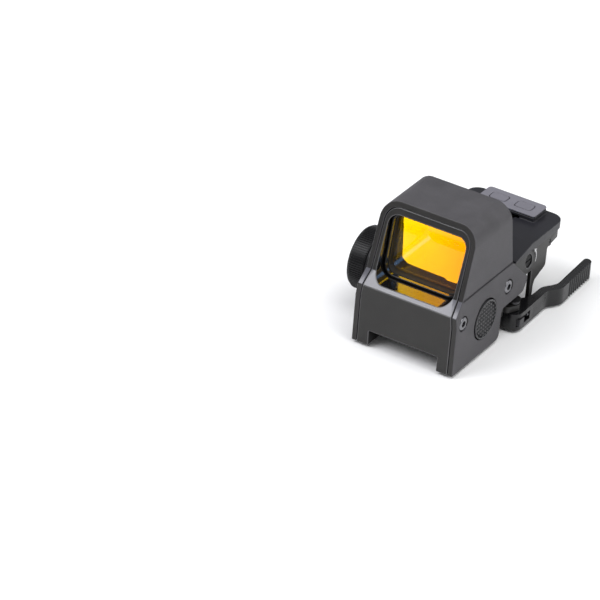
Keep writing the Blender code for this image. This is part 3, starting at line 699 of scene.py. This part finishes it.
def lens_shape():
    """A plate whose front is slightly domed, so that it gathers what it mirrors."""
    outline = rounded(window_outline(gasket_rim + 2 * GAP), 10)
    middle = Vector((0, (tunnel_floor + tunnel_roof) / 2))
    crown = Vector((0, tunnel_roof - 4))
    curve = 170.0
    work = bmesh.new()
    rings = []
    for share in [step / 12 for step in range(1, 13)]:
        ring = []
        for point in outline:
            spot = middle + (point - middle) * share
            depth = (spot - crown).length ** 2 / (2 * curve)
            ring.append(work.verts.new((spot.x, lens_foot + depth, spot.y)))
        rings.append(ring)
    rings.append([work.verts.new((p.x, lens_foot + lens_thickness, p.y)) for p in outline])
    for inner, outer in zip(rings, rings[1:]):
        for k in range(len(outline)):
            after = (k + 1) % len(outline)
            work.faces.new((inner[k], inner[after], outer[after], outer[k]))
    work.faces.new(rings[0])
    work.faces.new(rings[-1])
    mesh = mesh_of(work)
    for face in mesh.polygons:
        face.material_index = 1 if face.normal.y < -0.8 else 0
    return leaned(mesh)


piece("window_lens", lens_shape(), "sight", (lens_glass, amber), ["lens"], edge=0)
seat = window_outline(GAP)
gasket = leaned(prism(seat, "Y", lens_foot - 0.8, lens_foot + lens_thickness - 0.6))
gasket = cut(gasket, prism(window_outline(GAP + gasket_rim), "Y", front, 0))
piece("window_gasket", gasket, "sight", black_rubber, ["lens_gasket"], edge=0.2)
ring = leaned(prism(seat, "Y", lens_foot - 2.6, lens_foot - 1.1))
ring = cut(ring, prism(window_outline(GAP + retainer_rim), "Y", front, 0))
piece("window_ring", ring, "sight", tunnel_gloss, ["lens_retainer"], edge=0.2)

# ---- Battery bay --------------------------------------------------------------------------
# One cell in a plain shrink sleeve lies across the block. It rests on a plated contact, and
# a black neck with a rubber ring takes the cap.


def dressed(node, material, edge=0.0):
    """Gives a CAD node its finish, and softens its edges where they show."""
    made = nodes[node]
    made.data.materials.clear()
    made.data.materials.append(material)
    if edge:
        softened(made, edge, 2, 40)


def plated_brass():
    made, wire = new_material("plated_brass")
    spot = place_in(wire)
    dull = noise(spot, 1.5, 3.0)
    base = mixed(dull, (0.62, 0.44, 0.16, 1), (0.78, 0.58, 0.26, 1))
    finished(wire, Base_Color=base, Metallic=1.0, Roughness=ranged(dull, 0.3, 0.7, 0.22, 0.4))
    return made


def cell_sleeve():
    """A plain blue sleeve with a pale band round its positive end."""
    made, wire = new_material("cell_sleeve")
    spot = place_in(wire)
    along = wire.node("ShaderNodeSeparateXYZ", sockets={"Vector": spot})
    worn = noise(spot, 2.0, 4.0)
    blue = mixed(worn, (0.02, 0.06, 0.2, 1), (0.03, 0.09, 0.28, 1))
    base = mixed(along > 4.0, blue, (0.6, 0.6, 0.62, 1))
    finished(wire, Base_Color=base, Roughness=ranged(worn, 0.3, 0.7, 0.28, 0.42))
    return made


brass = plated_brass()
dressed("battery", cell_sleeve())
dressed("battery_positive_contact", brass)
dressed("battery_lead", black_rubber)
dressed("battery_neck", body_satin, 0.2)
dressed("cap_o_ring", black_rubber)
dressed("cap_contact", brass)
dressed("cap_spring", screw_steel)

# ---- Battery cap --------------------------------------------------------------------------
# A turned aluminium cap with straight knurling all round and a coin slot in its face. It
# screws onto the neck.

cap_low, cap_high = box_of("battery_cap")
cap_face = cap_low.x
cap_radius = (cap_high.z - cap_low.z) / 2
cap_rim = -30.4
skirt_bore = 11.8
skirt_end = -28.3
cap_bore = 10.5
cap_bore_end = -35.6
rib_count = 84
rib_depth = 0.42


def cap_shape():
    root = cap_radius - rib_depth
    shell = [
        (0, cap_face),
        (root - 1.1, cap_face),
        (root - 0.4, cap_face + 0.25),
        (root, cap_face + 0.9),
        (root, cap_rim - 0.3),
        (root - 0.3, cap_rim),
        (skirt_bore, cap_rim),
        (skirt_bore, skirt_end),
        (cap_bore, skirt_end),
        (cap_bore, cap_bore_end),
        (0, cap_bore_end),
    ]
    shape = turned("X", (0, battery_height), shell, sides=96)
    slot = brick(
        (cap_face - 1, -9.0, battery_height - 0.9), (cap_face + 1.2, 9.0, battery_height + 0.9)
    )
    return cut(shape, slot)


def ribs_shape():
    """Straight ribs round the cap, tapered at both ends, sunk a little into its wall."""
    work = bmesh.new()
    low, high = cap_face + 0.8, cap_rim - 0.35
    half = math.pi / rib_count * 0.62
    for index in range(rib_count):
        middle = math.tau * index / rib_count
        rings = []
        for along, rise in ((low, 0.0), (low + 0.7, 1.0), (high - 0.4, 1.0), (high, 0.0)):
            ring_points = []
            for turn, lift in ((-half, 0.0), (-half * 0.4, rise), (half * 0.4, rise), (half, 0.0)):
                radius = cap_radius - rib_depth - 0.12 + (rib_depth + 0.12) * lift
                angle = middle + turn
                ring_points.append(
                    work.verts.new((radius * math.cos(angle), radius * math.sin(angle), along))
                )
            rings.append(ring_points)
        for first, second in zip(rings, rings[1:]):
            for k in range(4):
                after = (k + 1) % 4
                work.faces.new((first[k], first[after], second[after], second[k]))
        work.faces.new(rings[0])
        work.faces.new(rings[-1])
    return turned_to(mesh_of(work), "X", (0, battery_height))


cap_satin = anodised(
    "cap_satin", (0.006, 0.006, 0.0065), (0.012, 0.012, 0.013), 0.3, 0.01, 0.38, 0.24
)
piece(
    "battery_cap_shell", cap_shape(), "battery_cap", cap_satin, ["battery_cap"],
    edge=0.15,
)
piece("battery_cap_ribs", ribs_shape(), "battery_cap", cap_satin, edge=0, sharp=20)

# ---- Side plug ----------------------------------------------------------------------------
# A pressed-in disc of black plastic whose face is moulded in small pyramids.

plug_face = box_of("side_plug")[1].x
pyramid_pitch = 1.75
pyramid_height = 0.8


def plug_shape():
    """A disc with a thin lip round its sunk face, where the pyramids stand."""
    floor = plug_face - pyramid_height
    boss = plug_radius - 0.95
    rim = plug_radius - 0.4
    disc = [
        (0, 18.0),
        (boss, 18.0),
        (boss, 20.4),
        (rim, 20.4),
        (rim, plug_face - 0.15),
        (rim - 0.3, plug_face),
        (rim - 0.55, plug_face),
        (rim - 0.75, floor),
        (0, floor),
    ]
    return turned("X", plug_spot, disc, sides=96)


def pyramids_shape():
    work = bmesh.new()
    reach = plug_radius - 1.15
    count = int(reach / pyramid_pitch) + 1
    half = pyramid_pitch / 2 - 0.08
    land = 0.36
    for row in range(-count, count + 1):
        for column in range(-count, count + 1):
            middle = Vector((column * pyramid_pitch, row * pyramid_pitch))
            corners = [(-1, -1), (1, -1), (1, 1), (-1, 1)]
            foot = [middle + half * Vector(corner) for corner in corners]
            if middle.length > reach + 0.2:
                continue
            foot = [point if point.length < reach else point * (reach / point.length) for point in foot]
            peak = sum(foot, Vector((0, 0))) / 4
            head = [peak + land * Vector(corner) for corner in corners]
            base = [work.verts.new((*point, plug_face - pyramid_height - 0.2)) for point in foot]
            step = [work.verts.new((*point, plug_face - pyramid_height + 0.02)) for point in foot]
            top = [work.verts.new((*point, plug_face - 0.05)) for point in head]
            work.faces.new(base)
            work.faces.new(top)
            for low_ring, high_ring in ((base, step), (step, top)):
                for k in range(4):
                    after = (k + 1) % 4
                    work.faces.new((low_ring[k], low_ring[after], high_ring[after], high_ring[k]))
    mesh = mesh_of(work)
    mesh.transform(Matrix.Rotation(math.radians(4), 4, "Z"))
    return turned_to(mesh, "X", plug_spot)


def moulded_plastic(name, dark, light, grain, rough):
    made, wire = new_material(name)
    spot = place_in(wire)
    fine = noise(spot, grain, 3.0)
    broad = noise(spot, 6.0)
    base = mixed(broad * 0.5 + fine * 0.5, (*dark, 1), (*light, 1))
    finished(
        wire,
        Base_Color=base,
        Roughness=ranged(fine, 0.3, 0.7, rough - 0.08, rough + 0.08),
        Normal=bumped(fine, 0.01),
    )
    return made


plug_plastic = moulded_plastic("plug_plastic", (0.02, 0.02, 0.022), (0.035, 0.035, 0.038), 0.2, 0.3)
piece("side_plug_disc", plug_shape(), "sight", plug_plastic, ["side_plug"], edge=0)
piece("side_plug_pyramids", pyramids_shape(), "sight", plug_plastic, edge=0, sharp=15)

# ---- Rear cover ---------------------------------------------------------------------------
# A machined lid over the electronics. It slopes down to the window in front, with a trough
# for the emitter's beam and a hole for the elevation screw, and two screws hold it from below.

cover_half = box_of("rear_cover")[1].x
cover_top = 24.2
cover_front = 14.5
deck_front = 27.6
panel_top = box_of("keypad_panel")[1].z
trough_roof = 24.8
panel_half = 12.8
panel_front = 40.9
panel_rear = 51.6
elevation_spot = (0, 22.8)
button_middle = 5.6


def panel_outline():
    """The keypad's outline seen from above, shared by the panel and its bed on the cover."""
    return [
        (-panel_half, panel_front, 1.0),
        (panel_half, panel_front, 1.0),
        (panel_half, panel_rear, 1.5),
        (-panel_half, panel_rear, 1.5),
    ]


def join(base, *tools):
    return combined("UNION", base, *tools)


def cover_shape():
    base = split_height + GAP
    foot = [
        (-cover_half, cover_front),
        (cover_half, cover_front),
        (cover_half, rear + GAP, rear_corner),
        (-cover_half, rear + GAP, rear_corner),
    ]
    shape = prism(foot, "Z", base, cover_top)
    slope = [(10, 30), (10, 21.6), (cover_front, 21.6), (deck_front, cover_top + 0.1), (deck_front, 30)]
    shape = cut(shape, prism(slope, "X", -30, 30))
    shape = join(shape, prism(panel_outline(), "Z", cover_top - 1, panel_top - 0.9))
    inner = [(-16.6, 17.5), (16.6, 17.5), (16.6, 40), (13.0, 49.2), (-13.0, 49.2), (-16.6, 40)]
    ceiling = cover_top - 1.4
    under = [(12, 22.0), (12, 18.0), (56, 18.0), (56, ceiling), (deck_front + 1, ceiling), (18.0, 20.9)]
    cavity = common(prism(inner, "Z", 18, 30), prism(under, "X", -30, 30))
    shape = cut(shape, cavity)
    shape = join(shape, brick((-6.4, 25.5, base), (6.4, 40.4, cover_top - 0.2)))
    trough = [
        (26.5, cover_top + 0.5),
        (35.0, 21.2),
        (45.0, 21.2),
        (45.0, trough_roof),
        (panel_front, trough_roof),
        (panel_front, 30),
        (26.5, 30),
    ]
    holes = [brick((-6.4, 40.6, 18), (6.4, 48.6, trough_roof)), prism(trough, "X", -4.6, 4.6)]
    holes.append(cylinder("Z", elevation_spot, 19, 30, 2.5))
    for middle in (button_middle, -button_middle):
        holes.append(brick((middle - 4.1, 43.4, panel_top - 2.2), (middle + 4.1, 49.2, panel_top + 1)))
    holes += [cylinder("Z", spot, 18, 22.9, 1.3, 24) for spot in cover_bolt_spots]
    return cut(shape, *holes)


cover_satin = anodised(
    "cover_satin", (0.008, 0.008, 0.011), (0.015, 0.015, 0.02), 0.25, 0.012, 0.4, 0.4
)
piece("rear_cover_lid", cover_shape(), "sight", cover_satin, ["rear_cover"], edge=0.3)
for name, spot in zip(("right", "left"), cover_bolt_spots):
    shape = socket_screw("Z", spot, 16.2, 17.7, 1.7, 22.6, 1.0)
    piece("cover_bolt_" + name, shape, "sight", screw_steel, ["cover_screw_" + name], edge=0)

# ---- Keypad -------------------------------------------------------------------------------
# A stiff moulded film with two soft keys under it, stuck to its bed on the cover. Each key
# is pressed flush and shows only as an outline.


def button_outline(middle, margin):
    half = 3.5 + margin
    low = 44.0 - margin
    high = 48.6 + margin
    corner = 1.2 + margin
    return [
        (middle - half, low, corner),
        (middle + half, low, corner),
        (middle + half, high, corner),
        (middle - half, high, corner),
    ]


keypad_film = moulded_plastic("keypad_film", (0.13, 0.127, 0.15), (0.19, 0.186, 0.215), 0.3, 0.5)
key_rubber = moulded_plastic("key_rubber", (0.125, 0.122, 0.143), (0.18, 0.176, 0.205), 0.3, 0.55)
panel = prism(panel_outline(), "Z", panel_top - 0.6, panel_top)
keys = (("up", button_middle), ("down", -button_middle))
panel = cut(panel, *[prism(button_outline(middle, GAP), "Z", 20, 30) for _, middle in keys])
piece("keypad_film", panel, "sight", keypad_film, ["keypad_panel"], edge=0.2)
for name, middle in keys:
    key = prism(button_outline(middle, 0), "Z", panel_top - 1.4, panel_top + 0.1)
    node = "button_" + name
    piece(f"keypad_{name}_key", key, node, key_rubber, [node], edge=0.25)

# ---- Electronics and emitter --------------------------------------------------------------
# Inside the tub: a green circuit board, and the carriage that holds the light-emitting diode
# behind its pinhole mask. Two slides move it, each pushed by its own screw against a spring.


def circuit_green():
    """Solder mask with darker copper tracks under it."""
    made, wire = new_material("circuit_green")
    spot = place_in(wire)
    tracks = wire.node(
        "ShaderNodeTexBrick",
        {"offset": 0.5},
        {
            "Vector": spot, "Scale": 0.4, "Mortar Size": 0.08,
            "Color1": (0.012, 0.12, 0.04, 1), "Color2": (0.016, 0.15, 0.05, 1),
            "Mortar": (0.03, 0.22, 0.08, 1),
        },
    )
    finished(wire, Base_Color=tracks, Roughness=ranged(noise(spot, 1.0), 0.3, 0.7, 0.3, 0.45))
    return made


dressed("circuit_board", circuit_green(), 0.1)
dressed("windage_slide", body_satin, 0.15)
dressed("emitter_carriage", body_satin, 0.15)
bright_nodes = ("board_screw_right", "board_screw_left", "elevation_spring", "windage_spring")
for node in (*bright_nodes, "reticle_mask"):
    dressed(node, screw_steel)
pane_glass = clear_glass("pane_glass", (0.8, 0.86, 0.88, 1), 0.2)
dressed("emitter_window", pane_glass, 0.1)
dressed("led_emitter", pane_glass, 0.1)

# ---- Adjusting screws ---------------------------------------------------------------------
# Blackened slotted screws, sunk in their holes and painted a matte near-black for the shade
# there. A pale printed arc by the windage hole says which way to turn it.


def arc_mark(middle, radius, width, start, end, lift):
    """A thin arc with an arrowhead at its end, lying on a plane across X."""
    work = bmesh.new()

    def corner(far, angle):
        across = middle[0] + far * math.cos(angle)
        return work.verts.new((across, middle[1] + far * math.sin(angle), 0))

    steps = 24
    rails = ([], [])
    for step in range(steps + 1):
        angle = start + (end - start) * step / steps
        for rail, far in zip(rails, (radius - width / 2, radius + width / 2)):
            rail.append(corner(far, angle))
    for step in range(steps):
        work.faces.new((rails[0][step], rails[1][step], rails[1][step + 1], rails[0][step + 1]))
    tip = end + math.copysign(0.32, end - start)
    head = [(radius - 2.2 * width, end), (radius + 2.2 * width, end), (radius, tip)]
    work.faces.new([corner(far, angle) for far, angle in head])
    raised = bmesh.ops.extrude_face_region(work, geom=work.faces[:])["geom"]
    corners = [part for part in raised if isinstance(part, bmesh.types.BMVert)]
    bmesh.ops.translate(work, vec=(0, 0, lift), verts=corners)
    return turned_to(mesh_of(work), "X")


def printed_paint():
    made, wire = new_material("printed_paint")
    spot = place_in(wire)
    worn = noise(spot, 0.25, 4.0, 0.7)
    base = mixed(ranged(worn, 0.3, 0.55, 0.0, 1.0), (0.3, 0.3, 0.31, 1), (0.72, 0.72, 0.73, 1))
    finished(wire, Base_Color=base, Roughness=ranged(worn, 0.3, 0.7, 0.45, 0.6))
    return made


# A matte near-black for the adjusting screws, painted as the shade in their holes.
screw_hole_shade = rubber_finish("painted_hole_shade_black", (0.003, 0.003, 0.003))
dressed("windage_screw", screw_hole_shade, 0.1)
dressed("elevation_screw", screw_hole_shade, 0.1)
paint = printed_paint()
mark = arc_mark(windage_spot, 5.2, 0.42, math.radians(-24), math.radians(34), 0.06)
mark.transform(Matrix.Translation((housing_half - 0.02, 0, 0)))
piece("windage_arrow", mark, "sight", paint, edge=0)

# ---- Rail clamp ---------------------------------------------------------------------------
# A fixed and a sliding jaw hang under a plate that is bolted into the housing. They grip the
# rail's edges, and the sliding one runs on two pins.

for node in ("clamp_base", "fixed_jaw", "movable_jaw"):
    dressed(node, body_satin, 0.25)
dressed("recoil_lug", screw_steel, 0.2)
for node in ("jaw_guide_pin_front", "jaw_guide_pin_rear"):
    dressed(node, screw_steel)
for name, y in (("front", 15.2), ("rear", 19.8)):
    shape = socket_screw("Z", (-12.8, y), -6.9, -5.3, 1.7, 2.6, 1.1)
    piece("jaw_bolt_" + name, shape, "sight", screw_steel, ["jaw_screw_" + name], edge=0)
for name, spot in zip(("right", "left"), base_bolt_spots):
    shape = socket_screw("Z", spot, 0.5, 2.6, 2.4, 10.0, 1.4)
    piece("base_bolt_" + name, shape, "sight", screw_steel, ["base_screw_" + name], edge=0)

# ---- Lever --------------------------------------------------------------------------------
# A cast lever in gloss black turns on a steel pin, and its cam draws the sliding jaw in. Its
# tip is grooved for the thumb, and a sprung steel tab in its head locks it shut.

lever_low, lever_high = box_of("clamp_lever")
pin_spot = (20.7, 15.4)
cam_closed = 5.7
cam_open = 4.2
groove_count = 10
groove_pitch = 1.8
groove_radius = 0.85
tip_start = 47.4
tip_taper = 0.033


def cam_outline():
    """The head of the lever: its radius falls evenly from the closed to the open side."""
    points = []
    for step in range(25):
        share = step / 24
        angle = math.pi + share * math.pi / 2
        radius = cam_closed + (cam_open - cam_closed) * share
        points.append((pin_spot[0] + radius * math.cos(angle), pin_spot[1] + radius * math.sin(angle)))
    return points


def eased(mesh, width):
    """Rounds a mesh's sharp edges for good, so that finer details can be cut afterwards."""
    work = bmesh.new()
    work.from_mesh(mesh)
    sharp = [edge for edge in work.edges if edge.calc_face_angle(0) > math.radians(40)]
    bmesh.ops.bevel(
        work, geom=sharp, offset=width, segments=4, profile=0.5, affect="EDGES",
        clamp_overlap=True,
    )
    work.to_mesh(mesh)
    work.free()
    return mesh


def lever_shape():
    outline = cam_outline() + [
        (25.2, 11.2, 3.6),
        (24.9, 24.0, 20.0),
        (24.6, 35.3, 4.0),
        (28.3, 40.6, 6.0),
        (28.1, 49.0),
        (27.5, 67.0, 2.2),
        (24.0, 67.0, 1.4),
        (24.8, 49.0),
        (25.2, 42.6, 6.0),
        (21.3, 36.4, 6.0),
        (21.3, 27.0, 8.0),
        (16.0, 20.6, 4.0),
    ]
    shape = eased(prism(outline, "Z", lever_low.z, lever_high.z, steps=10), 0.9)
    tools = [
        brick((22.6, 12.4, -4.6), (30, 21.6, -1.0)),
        cylinder("Z", pin_spot, -10, 10, 1.6),
    ]
    for index in range(groove_count):
        y = tip_start + groove_pitch * index
        x = 28.5 - tip_taper * (y - tip_start)
        tools.append(cylinder("Z", (x, y), -10, 10, groove_radius, 20))
    return cut(shape, *tools)


def blackened_steel():
    made, wire = new_material("blackened_steel")
    spot = place_in(wire)
    fine = noise(spot, 0.2, 3.0)
    base = mixed(fine, (0.03, 0.03, 0.032, 1), (0.07, 0.07, 0.075, 1))
    finished(
        wire, Base_Color=base, Metallic=0.8, Roughness=ranged(fine, 0.3, 0.7, 0.3, 0.42),
        Normal=bumped(fine, 0.005),
    )
    return made


def lever_lacquer():
    """Gloss black lacquer, with faint ripples of the casting under it."""
    made, wire = new_material("lever_lacquer")
    spot = place_in(wire)
    ripple = noise(spot, 3.5, 2.0)
    fine = noise(spot, 0.3, 3.0)
    base = mixed(ripple, (0.003, 0.003, 0.0035, 1), (0.007, 0.007, 0.008, 1))
    finished(
        wire,
        Base_Color=base,
        Roughness=ranged(fine * 0.5 + ripple * 0.5, 0.3, 0.7, 0.18, 0.3),
        Normal=bumped(ripple, 0.03),
    )
    return made


lacquer = lever_lacquer()
blackened = blackened_steel()
piece("lever_arm", lever_shape(), "clamp_lever", lacquer, ["clamp_lever"], edge=0)
dressed("lever_pin", blackened, 0.25)
# The tab's dark blackened steel also paints the shade in its slot.
dressed("lock_tab", blackened, 0.3)
dressed("lock_spring", screw_steel)

# ---- Floor, lights and camera -------------------------------------------------------------
# A pale sweep of paper, a broad soft light from the upper left in front, and weaker ones
# round the object.

scene = bpy.context.scene
scene.view_settings.view_transform = "Standard"

floor_mesh = bpy.data.meshes.new("floor")
work = bmesh.new()
bmesh.ops.create_grid(work, x_segments=1, y_segments=1, size=4.0)
work.to_mesh(floor_mesh)
work.free()
floor = bpy.data.objects.new("floor", floor_mesh)
floor.location.z = cad_low.z - 0.0002
scene.collection.objects.link(floor)
paper, wire = new_material("paper")
fibres = noise(place_in(wire), 2.0, 3.0)
finished(wire, Base_Color=mixed(fibres, (0.93, 0.93, 0.93, 1), (0.95, 0.95, 0.95, 1)), Roughness=0.9)
floor_mesh.materials.append(paper)

world = bpy.data.worlds.new("studio")
scene.world = world
world.use_nodes = True
sky = Wire(world.node_tree)
sky_place = sky.node("ShaderNodeTexCoord", output="Generated")
sky_height = sky.node("ShaderNodeSeparateXYZ", sockets={"Vector": sky_place}, output=2)
sky_level = ranged(sky_height, 0.0, 0.9, 0.22, 0.55)
backdrop = world.node_tree.nodes["Background"]
backdrop.inputs["Color"].default_value = (0.97, 0.98, 1.0, 1)
world.node_tree.links.new(sky_level.socket, backdrop.inputs["Strength"])


def soft_light(name, direction, distance, size, power, colour=(1, 1, 1)):
    """A square light that faces the object from a direction."""
    data = bpy.data.lights.new(name, "AREA")
    data.shape = "SQUARE"
    data.size = size
    data.energy = power
    data.color = colour
    made = bpy.data.objects.new(name, data)
    towards = Vector(direction).normalized()
    made.location = (cad_low + cad_high) / 2 + towards * distance
    made.rotation_euler = towards.to_track_quat("Z", "Y").to_euler()
    scene.collection.objects.link(made)


soft_light("key", (-0.43, -0.54, 0.72), 1.8, 1.0, 21.0, (0.97, 0.97, 1.0))
soft_light("side", (1.0, -0.15, 0.6), 2.2, 1.2, 8.5)
soft_light("top", (0.3, 0.0, 1.0), 2.0, 1.2, 18.0)
soft_light("rear", (0.51, 0.75, 0.43), 2.0, 0.6, 4.0)

camera_spot = Vector((0.6101, -1.1762, 0.7886))
azimuth = math.radians(29.812)  # from straight ahead towards the right
elevation = math.radians(30.811)
roll = math.radians(4.508)
camera_data = bpy.data.cameras.new("camera")
camera_data.sensor_width = 36.0
camera_data.lens = 243.5
camera_data.clip_start = 0.05
camera_data.clip_end = 20.0
camera = bpy.data.objects.new("camera", camera_data)
level = Matrix.Rotation(azimuth, 4, "Z") @ Matrix.Rotation(math.pi / 2 - elevation, 4, "X")
camera.matrix_world = Matrix.Translation(camera_spot) @ level @ Matrix.Rotation(roll, 4, "Z")
scene.collection.objects.link(camera)
scene.camera = camera
